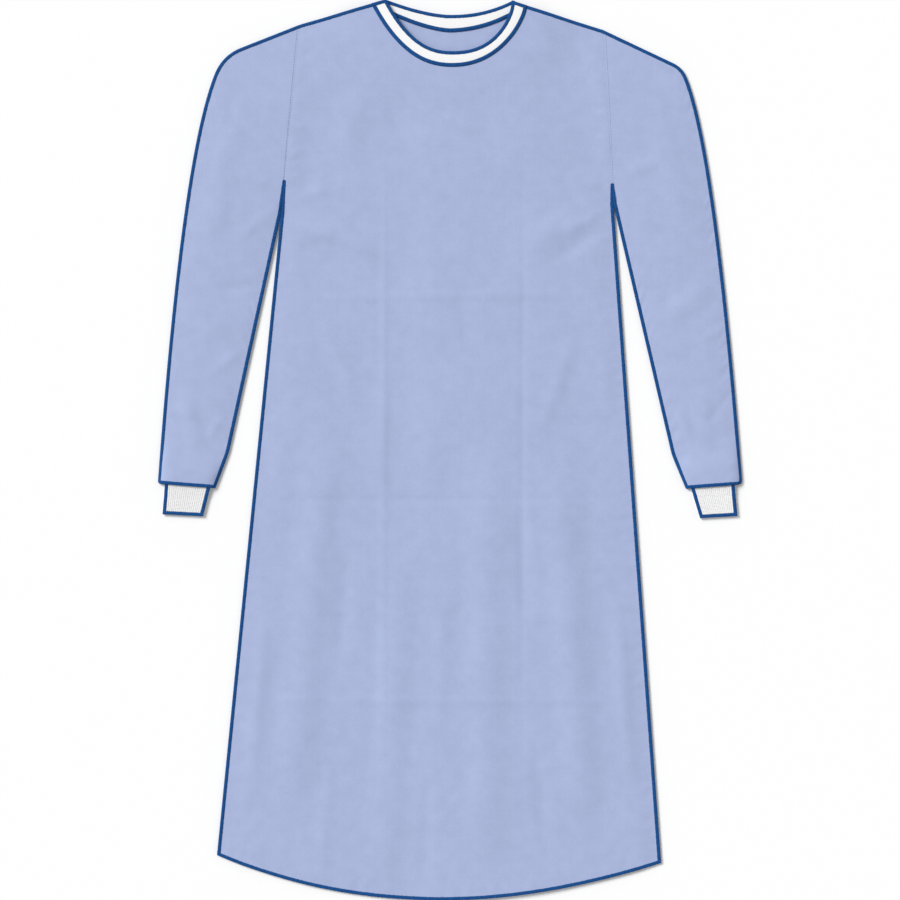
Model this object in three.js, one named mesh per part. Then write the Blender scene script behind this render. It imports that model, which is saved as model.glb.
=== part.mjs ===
// Surgical gown laid out flat, front up: x runs across the gown, y towards the neck, z up from the
// surface that it lies on. The origin is on that surface, under the middle of the gown's outline.
// Left and right are those of the picture, so left is at negative x.
import * as THREE from "three";

// Cloth and layers, in millimetres
const CLOTH = 1.2; // wall of the gown's cloth
const TAPE = 1.0; // wall of the neck binding's tape
const KNIT = 1.3; // wall of the knitted cuffs
const GAP = 0.3; // between pieces that are sewn together or lie on each other
const LAYER = CLOTH + GAP; // height from one layer of cloth to the next

// Plan of each side: [x, y] of the corners, and the bends between them
const LEFT = {
  name: "left",
  neck: [-90, 635],
  shoulder: [-212, 600], // end of the shoulder seam, top of the armhole
  tip: [-321, 557], // where the overarm seam bends down
  tipRound: 28, // how far from the tip the bend starts
  overarm: [-378.5, 416], // control point of the overarm's curve
  wristOuter: [-412.2, -47.3],
  wristRound: 2, // how far from the outer corner of the wrist its rounding starts
  wristInner: [-331.3, -53.8],
  wristBend: [-312.4, -4],
  underarm: [-238.4, 334],
  hem: [-328.7, -571.7],
  cuffTop: [[-402, -50], [-338.3, -53]],
  cuffEnd: [[-405.4, -90.5], [-348.8, -93.5]],
  frontNeckPower: 2.45, // how square the neck curve's half is
  frontNeckRound: 0, // share of a quarter ellipse in the neck curve's half
  backNeckPower: 1.6,
  backNeckRound: 0,
  frontBindingDip: 0.7, // how much narrower the front binding is half way to the shoulder
  backBindingEnd: 15, // width of the back binding at the shoulder
};
const RIGHT = {
  name: "right",
  neck: [87, 633],
  shoulder: [216, 592.5],
  tip: [328, 539.5],
  tipRound: 14,
  overarm: [375.5, 425.5],
  wristOuter: [412.45, -48.6],
  wristRound: 6,
  wristInner: [333, -54.5],
  wristBend: [313.3, -7],
  underarm: [230.5, 348],
  hem: [297.7, -582.7],
  cuffTop: [[340, -53], [401.4, -50]],
  cuffEnd: [[353, -96], [405.4, -93]],
  frontNeckPower: 3.2,
  frontNeckRound: 0.75,
  backNeckPower: 2.2,
  backNeckRound: 0,
  frontBindingDip: 2.4,
  backBindingEnd: 17,
};
const HEM_DROP = 57.8; // how far the hem's bow falls below the line between its corners
const HEM_SKEW = 0.092; // how much more it falls towards the left
const FRONT_NECK = [5, 561.6]; // lowest point of the front neck edge
const BACK_NECK = [0, 613.5]; // lowest point of the back neck edge, at the back opening

// Neck binding: a tape folded round the neck edge
const BINDING_WIDTH = 21; // of the front binding
const BACK_BINDING_WIDTH = 23.3; // of the back bindings at the back opening
const BACK_BINDING_POWER = 1.3; // how the back bindings narrow towards the shoulders
const BINDING_HEIGHT = 2 * TAPE + CLOTH + 3 * GAP;
const EDGE_INSET = 5; // from the binding's fold to the cloth's edge inside it
const FOLD_ROUND = 0.8;
const END_BLEND = 30; // length over which the binding turns to follow the shoulder seam
const FRONT_BINDING_BASE = BINDING_HEIGHT + GAP; // the front binding lies on the back ones

// Back opening: the left back runs on as a flap under the right back
const FLAP_WIDTH = 80;
const OPENING_RISE = [-70, -20]; // x over which the front rises towards the raised right back
const FLAP_TOP = 84; // from the neck edge down to the flap's upper corner
const FLAP_SLANT = 70; // height of the flap's slanting upper edge
const FLAP_COVER = 0.5; // share of the right back that lies raised on the flap
const FLAP_CLEAR = 0.75; // share at which it is down again
const FRONT_CLEAR = 0.8; // share at which the front over it is down again

// Height of the cloth over the layer below
const FRONT_LOFT = 1.0;
const SLEEVE_LOFT = 2.0;
const LOFT_POWER = 2.5; // how flat the middle of a lofted section is
const SEAM_FADE = 38; // width over which the front rises from a seam
const NECK_FLAT = 42; // width at the neck edge that is level with the binding
const NECK_FADE = 100; // width at which the front is down on the back again
const BACK_NECK_FADE = 76;

// Cuffs: rib-knit tubes whose upper ends are sewn inside the sleeves
const CUFF_TUCK = 14;
const CUFF_THICK = 3.2;
const CUFF_RIBS = 20;
const RIB_POINTS = 3; // a groove and the two edges of a rib
const RIB_RISE = 0.5;
const MOUTH_LIFT = 5.2; // how far the sleeve's end stands up over the cuff
const MOUTH_POWER = 6;
const MOUTH_FLAT = 22; // length of sleeve that is fully open, over the cuff's upper end
const MOUTH_LENGTH = 64; // length of sleeve over which its end opens

// Soft folds: ridges from one point to another, which fade in and out along their length
const FOLD_FADE_IN = 0.35;
const FOLD_FADE_OUT = 0.12;
const FRONT_FOLDS = [
  { from: [-168, 120], to: [-232, -600], reach: 40, rise: 2.3 },
  { from: [-66, -80], to: [-92, -660], reach: 36, rise: 1.9 },
  { from: [52, 60], to: [50, -670], reach: 40, rise: 2.2 },
  { from: [150, 40], to: [196, -620], reach: 38, rise: 2.3 },
  { from: [-205, 330], to: [-90, 262], reach: 30, rise: 1.9 },
  { from: [200, 340], to: [96, 284], reach: 30, rise: 1.7 },
  { from: [-130, 520], to: [-150, 400], reach: 34, rise: 1.4 },
];
const SLEEVE_FOLDS = {
  left: [
    { from: [-300, 500], to: [-352, 250], reach: 32, rise: 1.3 },
    { from: [-390, 205], to: [-305, 150], reach: 26, rise: 1.2 },
    { from: [-378, 110], to: [-352, -30], reach: 22, rise: 1.0 },
  ],
  right: [
    { from: [296, 480], to: [338, 300], reach: 32, rise: 1.3 },
    { from: [384, 250], to: [300, 176], reach: 26, rise: 1.2 },
    { from: [352, 96], to: [366, -30], reach: 22, rise: 1.0 },
  ],
};

// Looks
const clothMaterial = new THREE.MeshStandardMaterial({ color: 0xaab7da, roughness: 0.85, metalness: 0 });
const tapeMaterial = new THREE.MeshStandardMaterial({ color: 0xf2f3f6, roughness: 0.8, metalness: 0 });
const knitMaterial = new THREE.MeshStandardMaterial({ color: 0xf4f4f6, roughness: 0.95, metalness: 0 });

// Small helpers
const mix = THREE.MathUtils.lerp;
const smooth = (x, low, high) => THREE.MathUtils.smoothstep(x, low, high);
const at = ([x, y]) => new THREE.Vector2(x, y);
const between = (a, b, t) => a.clone().lerp(b, t);
const steps = (count) => Array.from({ length: count + 1 }, (_, i) => i / count);

function distanceToSegment(p, a, b) {
  const run = b.clone().sub(a);
  const t = THREE.MathUtils.clamp(p.clone().sub(a).dot(run) / run.lengthSq(), 0, 1);
  return { distance: p.distanceTo(between(a, b, t)), along: t };
}

function distanceToLine(p, points) {
  let best = Infinity;
  for (let i = 1; i < points.length; i++) {
    best = Math.min(best, distanceToSegment(p, points[i - 1], points[i]).distance);
  }
  return best;
}

// Height that a table of folds adds at a point. A fold that ends past the hem runs out over it.
function foldHeight(folds, p) {
  let height = 0;
  for (const fold of folds) {
    const { distance, along } = distanceToSegment(p, at(fold.from), at(fold.to));
    const across = 0.5 + 0.5 * Math.cos(Math.PI * Math.min(1, distance / fold.reach));
    const ends = smooth(along, 0, FOLD_FADE_IN) * smooth(1 - along, 0, FOLD_FADE_OUT);
    height = Math.max(height, fold.rise * across * ends);
  }
  return height;
}

// A closed wall between two grids of points, the outer and the inner. A ring closes on itself across.
function wall(outer, inner, ring = false) {
  const rows = outer.length;
  const columns = outer[0].length;
  const points = [...outer.flat(), ...inner.flat()];
  const index = [];
  const id = (layer, r, c) => layer * rows * columns + r * columns + (c % columns);
  const quad = (a, b, c, d) => index.push(a, b, c, a, c, d);
  const across = ring ? columns : columns - 1;
  for (let r = 0; r + 1 < rows; r++) {
    for (let c = 0; c < across; c++) {
      quad(id(0, r, c), id(0, r, c + 1), id(0, r + 1, c + 1), id(0, r + 1, c));
      quad(id(1, r, c), id(1, r + 1, c), id(1, r + 1, c + 1), id(1, r, c + 1));
    }
    if (!ring) {
      quad(id(0, r, 0), id(0, r + 1, 0), id(1, r + 1, 0), id(1, r, 0));
      quad(id(0, r + 1, across), id(0, r, across), id(1, r, across), id(1, r + 1, across));
    }
  }
  for (let c = 0; c < across; c++) {
    quad(id(0, 0, c + 1), id(0, 0, c), id(1, 0, c), id(1, 0, c + 1));
    quad(id(0, rows - 1, c), id(0, rows - 1, c + 1), id(1, rows - 1, c + 1), id(1, rows - 1, c));
  }
  const geometry = new THREE.BufferGeometry().setFromPoints(points);
  geometry.setIndex(volumeOf(points, index) < 0 ? index.reverse() : index);
  geometry.computeVertexNormals();
  return geometry;
}

function volumeOf(points, index) {
  const normal = new THREE.Vector3();
  let volume = 0;
  for (let i = 0; i < index.length; i += 3) {
    normal.crossVectors(points[index[i + 1]], points[index[i + 2]]);
    volume += points[index[i]].dot(normal) / 6;
  }
  return volume;
}

// A panel of cloth from a grid of plan points and the height of its underside at each
function panel(grid, height) {
  const under = grid.map((row, r) => row.map((p, c) => new THREE.Vector3(p.x, p.y, height(p, r, c))));
  const upper = under.map((row) => row.map((p) => new THREE.Vector3(p.x, p.y, p.z + CLOTH)));
  return wall(upper, under);
}

// Edges in plan
class NeckEdge extends THREE.Curve {
  constructor(lowest, power, round) {
    super();
    Object.assign(this, { lowest, power, round });
  }
  getPoint(t, target = new THREE.Vector2()) {
    const turn = (t - 0.5) * Math.PI;
    const side = turn < 0 ? LEFT : RIGHT;
    const share = Math.abs(Math.sin(turn));
    const rise = mix(share ** side[this.power], 1 - Math.cos(turn), side[this.round]);
    return target.set(mix(this.lowest[0], side.neck[0], share), mix(this.lowest[1], side.neck[1], rise));
  }
}
const frontNeck = new NeckEdge(FRONT_NECK, "frontNeckPower", "frontNeckRound");
const backNeck = new NeckEdge(BACK_NECK, "backNeckPower", "backNeckRound");

const shoulderLine = (side) => at(side.shoulder).sub(at(side.neck)).normalize();

// How far along the shoulder seam the binding's end reaches for each millimetre of its width
function endStretch(edge, side) {
  const inward = edge.getTangentAt(side === LEFT ? 0 : 1);
  return 1 / Math.abs(inward.cross(shoulderLine(side)));
}

// A point of the neck edge at a share of its length, moved out into the cloth
function neckPoint(edge, share, out) {
  const tangent = edge.getTangentAt(share);
  const side = share < 0.5 ? LEFT : RIGHT;
  const fromEnd = edge.getLength() * Math.min(share, 1 - share);
  const square = new THREE.Vector2(tangent.y, -tangent.x);
  const seam = shoulderLine(side).multiplyScalar(endStretch(edge, side));
  return edge.getPointAt(share).addScaledVector(between(seam, square, smooth(fromEnd, 0, END_BLEND)), out);
}

const frontNeckLine = frontNeck.getSpacedPoints(40);
const backNeckLine = backNeck.getSpacedPoints(40);

// Where each back's neck edge ends at the opening, as a share of the whole back neck edge
const OPENING_SHARE = (() => {
  const lengths = backNeck.getLengths();
  const middle = lengths[(lengths.length - 1) / 2] / lengths.at(-1);
  const half = GAP / 2 / lengths.at(-1);
  return { left: middle - half, right: middle + half };
})();

// A point of the hem at a share of its width: it falls in one bow from corner to corner.
function hemPoint(share) {
  const bow = 4 * share * (1 - share) * (1 + HEM_SKEW * (1 - 2 * share));
  return between(at(LEFT.hem), at(RIGHT.hem), share).sub(new THREE.Vector2(0, HEM_DROP * bow));
}

const armhole = (side, share) => between(at(side.underarm), at(side.shoulder), share);

function overarm(side) {
  const tip = at(side.tip);
  const before = tip.clone().add(at(side.shoulder).sub(tip).setLength(side.tipRound));
  const after = tip.clone().add(at(side.overarm).sub(tip).setLength(side.tipRound));
  const wrist = at(side.wristOuter);
  const above = wrist.clone().add(at(side.overarm).sub(wrist).setLength(side.wristRound));
  const inside = wrist.clone().add(at(side.wristInner).sub(wrist).setLength(side.wristRound));
  return new THREE.Path()
    .moveTo(...side.shoulder)
    .lineTo(before.x, before.y)
    .quadraticCurveTo(tip.x, tip.y, after.x, after.y)
    .quadraticCurveTo(...side.overarm, above.x, above.y)
    .quadraticCurveTo(wrist.x, wrist.y, inside.x, inside.y);
}

const underarmSeam = (side) =>
  new THREE.Path().moveTo(...side.underarm).lineTo(...side.wristBend).lineTo(...side.wristInner);

// A grid of plan points inside four edges: low and high by share across, near and far by share up.
function patch(low, high, near, far, across, up) {
  return up.map((v) =>
    across.map((u) => {
      const ruled = between(low(u), high(u), v).add(between(near(v), far(v), u));
      const corners = between(between(low(0), low(1), u), between(high(0), high(1), u), v);
      return ruled.sub(corners);
    }),
  );
}

// Rows up the body: even on the skirt, and closer together towards the neck
const BODY_TOP_ROWS = [228, 176, 136, 104, 80, 60, 42, 28, 14, 0]; // distance below the top edge
const BODY_HEIGHT = 1190;
const UNDERARM_SHARE = 0.775; // share of the body's height at the underarm
const bodyRows = (count) => [
  ...steps(count).map((t) => t * UNDERARM_SHARE),
  ...BODY_TOP_ROWS.map((d) => 1 - d / BODY_HEIGHT),
];

// Side of a body panel: the side seam, then the armhole
const armholeShare = (v) => Math.max(0, (v - UNDERARM_SHARE) / (1 - UNDERARM_SHARE));
const bodySide = (side) => (v) =>
  v < UNDERARM_SHARE
    ? between(at(side.hem), at(side.underarm), v / UNDERARM_SHARE)
    : armhole(side, armholeShare(v));
const crown = (share, power) => 1 - Math.abs(2 * share - 1) ** power;

// Front
const FRONT_COLUMNS = 32;
const FRONT_ROWS = 20; // on the skirt
const NECK_COLUMNS = [9, 23]; // columns at the ends of the front neck edge

function frontTop(u) {
  const [first, last] = NECK_COLUMNS.map((c) => c / FRONT_COLUMNS);
  const neckAt = (share) => neckPoint(frontNeck, share, EDGE_INSET);
  if (u < first) return between(at(LEFT.shoulder), neckAt(0), u / first);
  if (u > last) return between(neckAt(1), at(RIGHT.shoulder), (u - last) / (1 - last));
  return neckAt((u - first) / (last - first));
}

// The right back lies raised beside the back opening, and the front rises over it.
function openingStep(p) {
  const rightEdge = mix(RIGHT.underarm[0], RIGHT.hem[0], smooth(-p.y, -RIGHT.underarm[1], -RIGHT.hem[1]));
  return LAYER * smooth(p.x, ...OPENING_RISE) * (1 - smooth(p.x / rightEdge, FLAP_COVER, FRONT_CLEAR));
}

function frontGeometry() {
  const across = steps(FRONT_COLUMNS);
  const up = bodyRows(FRONT_ROWS);
  const hem = (u) => hemPoint(u);
  const grid = patch(hem, frontTop, bodySide(LEFT), bodySide(RIGHT), across, up);
  const plateau = FRONT_BINDING_BASE + TAPE + GAP;
  return panel(grid, (p, r) => {
    const row = grid[r];
    const fromSide = Math.min(p.distanceTo(row[0]), p.distanceTo(row.at(-1)));
    const inside = smooth(fromSide, 0, SEAM_FADE) * smooth((1 - up[r]) * BODY_HEIGHT, 0, SEAM_FADE);
    const share = armholeShare(up[r]);
    const edge = share > 0 ? SLEEVE_LOFT * crown(share, LOFT_POWER) : 0;
    const lofted = FRONT_LOFT + openingStep(p) + foldHeight(FRONT_FOLDS, p);
    const level = LAYER + mix(edge, lofted, inside);
    return mix(plateau, level, smooth(distanceToLine(p, frontNeckLine), NECK_FLAT, NECK_FADE));
  });
}

// Backs
const backRaise = (p) => 1 - smooth(distanceToLine(p, backNeckLine), NECK_FLAT, BACK_NECK_FADE);
const hemShareAt = (x) => (x - LEFT.hem[0]) / (RIGHT.hem[0] - LEFT.hem[0]);
const BACK_SHOULDER_COLUMNS = 3;
const BACK_NECK_COLUMNS = 5;
const BACK_COLUMNS = BACK_SHOULDER_COLUMNS + BACK_NECK_COLUMNS;
const BACK_ROWS = 8; // on the skirt

// Upper edge of one back, from the armhole to the back opening
function backTop(side, u) {
  const split = BACK_SHOULDER_COLUMNS / BACK_COLUMNS;
  const end = side === LEFT ? 0 : 1;
  if (u < split) return between(at(side.shoulder), neckPoint(backNeck, end, EDGE_INSET), u / split);
  return neckPoint(backNeck, mix(end, OPENING_SHARE[side.name], (u - split) / (1 - split)), EDGE_INSET);
}

// Edge of the left back at the opening: up the flap, along its slanting top, then up to the neck
function flapEdge() {
  const flapX = BACK_NECK[0] + FLAP_WIDTH;
  const openX = BACK_NECK[0] - GAP / 2;
  const cornerY = BACK_NECK[1] - FLAP_TOP;
  const low = hemPoint(hemShareAt(flapX));
  const high = backTop(LEFT, 1);
  const corners = [low, at([flapX, cornerY - FLAP_SLANT]), at([openX, cornerY]), high];
  const shares = corners.map((p) => (p.y - low.y) / (high.y - low.y));
  const pointAt = (v) => {
    const i = Math.max(1, shares.findIndex((share) => share >= v));
    return between(corners[i - 1], corners[i], (v - shares[i - 1]) / (shares[i] - shares[i - 1]));
  };
  return { low, shares, pointAt };
}

function backLeftGeometry() {
  const edge = flapEdge();
  const hem = (u) => hemPoint(u * hemShareAt(edge.low.x));
  const up = [...new Set([...bodyRows(BACK_ROWS), ...edge.shares])].sort((a, b) => a - b);
  const top = (u) => backTop(LEFT, u);
  const grid = patch(hem, top, bodySide(LEFT), edge.pointAt, steps(BACK_COLUMNS), up);
  return panel(grid, (p) => LAYER * backRaise(p));
}

function backRightGeometry() {
  const openX = BACK_NECK[0] + GAP / 2;
  const across = steps(BACK_COLUMNS);
  const hem = (u) => hemPoint(mix(1, hemShareAt(openX), u));
  const top = (u) => backTop(RIGHT, u);
  const opening = (v) => new THREE.Vector2(openX, mix(hem(1).y, top(1).y, v));
  const grid = patch(hem, top, bodySide(RIGHT), opening, across, bodyRows(BACK_ROWS));
  return panel(grid, (p, r, c) => {
    const onFlap = 1 - smooth(1 - across[c], FLAP_COVER, FLAP_CLEAR);
    return LAYER * Math.max(backRaise(p), onFlap);
  });
}

// Sleeves
const SLEEVE_ACROSS = [0, 0.05, 0.125, 0.25, 0.375, 0.5, 0.625, 0.75, 0.875, 0.95, 1]; // closer at seams
const SLEEVE_MIDDLE = 5; // column half way across
const WRIST_ROWS = [0.982, 0.987, 0.991, 0.995]; // more rows round the outer corner of the wrist
const sleeveRows = (count) => [...steps(count).slice(0, -1), ...WRIST_ROWS, 1];

// Plan of a sleeve: rows from the armhole to the wrist, each from the underarm seam to the overarm
function sleeveGrid(side, across, rows) {
  const inner = underarmSeam(side);
  const outer = overarm(side);
  const apart = new THREE.Vector2(Math.sign(side.shoulder[0]) * GAP, 0);
  return rows.map((v) =>
    across.map((u) => between(inner.getPointAt(v), outer.getPointAt(v), u).addScaledVector(apart, 1 - v)),
  );
}

function sleeveFrontGeometry(side) {
  const rows = sleeveRows(24);
  const grid = sleeveGrid(side, SLEEVE_ACROSS, rows);
  const wrist = between(at(side.wristInner), at(side.wristOuter), 0.5);
  return panel(grid, (p, r, c) => {
    const share = SLEEVE_ACROSS[c];
    const toWrist = grid[r][SLEEVE_MIDDLE].distanceTo(wrist);
    const lofted = (SLEEVE_LOFT + foldHeight(SLEEVE_FOLDS[side.name], p)) * crown(share, LOFT_POWER);
    const mouth = MOUTH_LIFT * crown(share, MOUTH_POWER);
    return LAYER + mix(lofted, mouth, 1 - smooth(toWrist, MOUTH_FLAT, MOUTH_LENGTH));
  });
}

function sleeveBackGeometry(side) {
  return panel(sleeveGrid(side, steps(4), sleeveRows(18)), () => 0);
}

// Cuffs
// One ring of a cuff: its points across and up, outside and inside. Ribs stand on the upper face only.
function cuffSection(halfWidth) {
  const outside = [];
  const inside = [];
  const add = (x, z, innerX, innerZ) => {
    outside.push([x, z]);
    inside.push([innerX, innerZ]);
  };
  const flat = halfWidth - CUFF_THICK / 2;
  const innerFlat = halfWidth - KNIT - GAP;
  const points = RIB_POINTS * CUFF_RIBS;
  add(-halfWidth, CUFF_THICK / 2, -halfWidth + KNIT, CUFF_THICK / 2);
  for (let i = 0; i <= points; i++) {
    const x = mix(-flat, flat, i / points);
    const rib = i % RIB_POINTS === 0 ? 0 : RIB_RISE;
    add(x, CUFF_THICK + rib, (x * innerFlat) / flat, CUFF_THICK - KNIT);
  }
  add(halfWidth, CUFF_THICK / 2, halfWidth - KNIT, CUFF_THICK / 2);
  for (const t of steps(6)) add(mix(flat, -flat, t), 0, mix(innerFlat, -innerFlat, t), KNIT);
  return { outside, inside };
}

function cuffGeometry(side) {
  const [topA, topB] = side.cuffTop.map(at);
  const [endA, endB] = side.cuffEnd.map(at);
  const length = between(topA, topB, 0.5).distanceTo(between(endA, endB, 0.5));
  const stations = [
    { along: -CUFF_TUCK, base: LAYER },
    { along: 3, base: LAYER },
    { along: 16, base: 0 },
    { along: length, base: 0 },
  ];
  const rings = stations.map(({ along, base }) => {
    const a = between(topA, endA, along / length);
    const b = between(topB, endB, along / length);
    const middle = between(a, b, 0.5);
    const run = b.clone().sub(a).normalize();
    const { outside, inside } = cuffSection(a.distanceTo(b) / 2);
    const place = ([x, z]) => new THREE.Vector3(middle.x + run.x * x, middle.y + run.y * x, base + z);
    return { outside: outside.map(place), inside: inside.map(place) };
  });
  return wall(
    rings.map((r) => r.outside),
    rings.map((r) => r.inside),
    true,
  );
}

// Neck binding: its section from the upper outer edge round the fold to the lower outer edge
function bindingSection(width) {
  const top = BINDING_HEIGHT;
  const round = FOLD_ROUND;
  const inner = TAPE + round / 2;
  const outside = [
    [width, top],
    [round, top],
    [0, top - round],
    [0, round],
    [round, 0],
    [width, 0],
  ];
  const inside = [
    [width, top - TAPE],
    [inner, top - TAPE],
    [TAPE, top - inner],
    [TAPE, inner],
    [inner, TAPE],
    [width, TAPE],
  ];
  return { outside, inside };
}

function frontBindingWidth(share) {
  const side = share < 0.5 ? LEFT : RIGHT;
  return BINDING_WIDTH - side.frontBindingDip * Math.sin(2 * Math.PI * share) ** 2;
}

function backBindingWidth(share) {
  const { left, right } = OPENING_SHARE;
  const side = share < 0.5 ? LEFT : RIGHT;
  const toShoulder = side === LEFT ? 1 - share / left : 1 - (1 - share) / (1 - right);
  return mix(BACK_BINDING_WIDTH, side.backBindingEnd, Math.max(0, toShoulder) ** BACK_BINDING_POWER);
}

function bindingGeometry(edge, from, to, count, base, widthAt) {
  const shares = steps(count).map((t) => mix(from, to, t));
  const sections = shares.map((share) => bindingSection(widthAt(share)));
  const sweep = (face) =>
    shares.map((share, i) =>
      sections[i][face].map(([out, z]) => {
        const p = neckPoint(edge, share, out);
        return new THREE.Vector3(p.x, p.y, base + z);
      }),
    );
  return wall(sweep("outside"), sweep("inside"));
}

// The gown
const gown = new THREE.Group();

function addPiece(name, geometry, material) {
  const mesh = new THREE.Mesh(geometry, material);
  mesh.name = name;
  gown.add(mesh);
}

addPiece("front", frontGeometry(), clothMaterial);
addPiece("back_left", backLeftGeometry(), clothMaterial);
addPiece("back_right", backRightGeometry(), clothMaterial);
for (const side of [LEFT, RIGHT]) {
  addPiece(`sleeve_${side.name}_front`, sleeveFrontGeometry(side), clothMaterial);
  addPiece(`sleeve_${side.name}_back`, sleeveBackGeometry(side), clothMaterial);
  addPiece(`cuff_${side.name}`, cuffGeometry(side), knitMaterial);
}
const frontBinding = bindingGeometry(frontNeck, 0, 1, 36, FRONT_BINDING_BASE, frontBindingWidth);
const backBinding = (from, to) => bindingGeometry(backNeck, from, to, 16, 0, backBindingWidth);
addPiece("neck_binding_front", frontBinding, tapeMaterial);
addPiece("neck_binding_back_left", backBinding(0, OPENING_SHARE.left), tapeMaterial);
addPiece("neck_binding_back_right", backBinding(OPENING_SHARE.right, 1), tapeMaterial);

export default gown;
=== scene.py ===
import math
from collections import namedtuple

import bmesh
import bpy
import numpy as np
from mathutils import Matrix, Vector
from mathutils.bvhtree import BVHTree


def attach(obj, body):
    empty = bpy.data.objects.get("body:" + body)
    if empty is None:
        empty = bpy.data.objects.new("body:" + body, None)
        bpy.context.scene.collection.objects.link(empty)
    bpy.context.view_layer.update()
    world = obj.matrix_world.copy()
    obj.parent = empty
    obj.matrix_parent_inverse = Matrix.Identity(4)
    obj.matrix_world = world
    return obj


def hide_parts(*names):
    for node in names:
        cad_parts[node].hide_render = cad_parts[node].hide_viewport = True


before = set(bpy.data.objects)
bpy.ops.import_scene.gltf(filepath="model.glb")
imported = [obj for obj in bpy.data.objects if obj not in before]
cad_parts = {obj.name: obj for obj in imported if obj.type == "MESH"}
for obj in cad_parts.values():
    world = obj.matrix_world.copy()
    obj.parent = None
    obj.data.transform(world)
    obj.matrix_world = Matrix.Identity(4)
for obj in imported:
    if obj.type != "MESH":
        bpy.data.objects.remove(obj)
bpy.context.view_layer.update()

# Cloth and layers
CLOTH = 0.0012  # height that one layer takes up
SHEET = 0.0006  # thickness of the cloth itself
TAPE = 0.0010
TAPE_SHEET = 0.0007
GAP = 0.0003
LAYER = CLOTH + GAP

# Plan of each side, first left and then right: corners, and the bends between them
PLAN = {
    "name": ("left", "right"),
    "neck": ((-0.090, 0.635), (0.087, 0.633)),
    "shoulder": ((-0.212, 0.600), (0.216, 0.5925)),
    "tip": ((-0.321, 0.557), (0.328, 0.5395)),
    "tip_round": (0.028, 0.014),
    "overarm": ((-0.3785, 0.416), (0.3755, 0.4255)),
    "wrist_outer": ((-0.4122, -0.0473), (0.41245, -0.0486)),
    "wrist_round": (0.002, 0.006),
    "wrist_inner": ((-0.3313, -0.0538), (0.333, -0.0545)),
    "wrist_bend": ((-0.3124, -0.004), (0.3133, -0.007)),
    "underarm": ((-0.2384, 0.334), (0.2305, 0.348)),
    "hem": ((-0.3287, -0.5717), (0.2977, -0.5827)),
    "cuff_top": (((-0.402, -0.050), (-0.3383, -0.053)), ((0.340, -0.053), (0.4014, -0.050))),
    "cuff_end": (((-0.4054, -0.0905), (-0.3488, -0.0935)), ((0.353, -0.096), (0.4054, -0.093))),
    "seam_run": (0.047, 0.028),  # how far the two underarm seams run on together up the armhole
    "front_neck_power": (2.45, 3.2),
    "front_neck_round": (0.0, 0.75),
    "back_neck_power": (1.6, 2.2),
    "back_neck_round": (0.0, 0.0),
    "front_binding_dip": (0.0007, 0.0024),  # how much narrower the front binding is half way to the shoulder
    "back_binding_end": (0.015, 0.017),  # width of the back binding at the shoulder
}
SIDES = tuple({key: pair[k] for key, pair in PLAN.items()} for k in (0, 1))
LEFT, RIGHT = SIDES
HEM_DROP = 0.0578  # how far the hem's bow falls below the line between its corners
HEM_SKEW = 0.092  # how much more it falls towards the left
FRONT_NECK = (0.005, 0.5616)  # lowest points of the neck edges
BACK_NECK = (0.0, 0.6135)
UNDERARM_SHARE = 0.775  # share of the body's height at which the armhole starts
WRIST_BEND_ROUND = 0.008
BODY_HEIGHT = 1.190

# Neck binding
BINDING_WIDTH = 0.021  # of the front binding
BACK_BINDING_WIDTH = 0.0233  # of the back bindings at the back opening
BACK_BINDING_POWER = 1.3
BINDING_HEIGHT = 2 * TAPE + CLOTH + 3 * GAP
EDGE_INSET = 0.005  # of the cloth's raw edge inside the fold
END_BLEND = 0.030  # length over which the tape's ends turn along the shoulder seam
FOLD_DEPTH = 0.004  # the part of the tape beside its fold that keeps its form
FOLD_ROUND = 0.0004
FRONT_BINDING_BASE = BINDING_HEIGHT + GAP
TAPE_SECTION = (  # the tape's outer face from its upper edge, round the fold, to its lower edge: out, and up
    (BINDING_WIDTH, BINDING_HEIGHT - 0.0008),
    (0.0165, BINDING_HEIGHT - 0.0003),
    (0.0100, BINDING_HEIGHT),
    (FOLD_DEPTH, BINDING_HEIGHT),
    (FOLD_ROUND, BINDING_HEIGHT),
    (0.0, BINDING_HEIGHT / 2),
    (FOLD_ROUND, 0.0),
    (FOLD_DEPTH, 0.0),
    (BINDING_WIDTH, 0.0),
)
TAPE_RIPPLE = 0.00011
TAPE_WAVES = ((1.0, 0.0043, 0.0), (0.6, 0.0071, 1.3))  # share, length and phase of each
TAPE_STATIONS = 121  # points by which a tape's line is measured
TAPE_CELLS = 40  # across the tape, all round its fold
TAPE_CELL = 0.0025  # along it

# Back opening
FLAP_WIDTH = 0.080
FLAP_TOP = 0.084  # below the neck edge
FLAP_SLANT = 0.070
FLAP_COVER = 0.5  # share of the right back, from the opening, that lies raised on the flap
FLAP_CLEAR = 0.75  # where it is down again
FRONT_CLEAR = 0.8  # where the front is down again
OPENING_RISE = (-0.070, -0.020)  # x at which the front starts to rise, and at which it is up

# Height of the cloth over the layer below
FRONT_LOFT = 0.0010
SLEEVE_LOFT = 0.0020
LOFT_POWER = 2.5
SEAM_FADE = 0.038
NECK_FLAT = 0.042  # how far from the neck edge the cloth lies level, and where that ends
NECK_FADE = 0.100
BACK_NECK_FADE = 0.076
SEAM_GROOVE = 0.0002  # depth of the cloth's dip along an armhole
GROOVE_REACH = 0.003
SLEEVE_GROOVE_SHARE = 0.006  # its width on the sleeve, as a share of the sleeve's length

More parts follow.
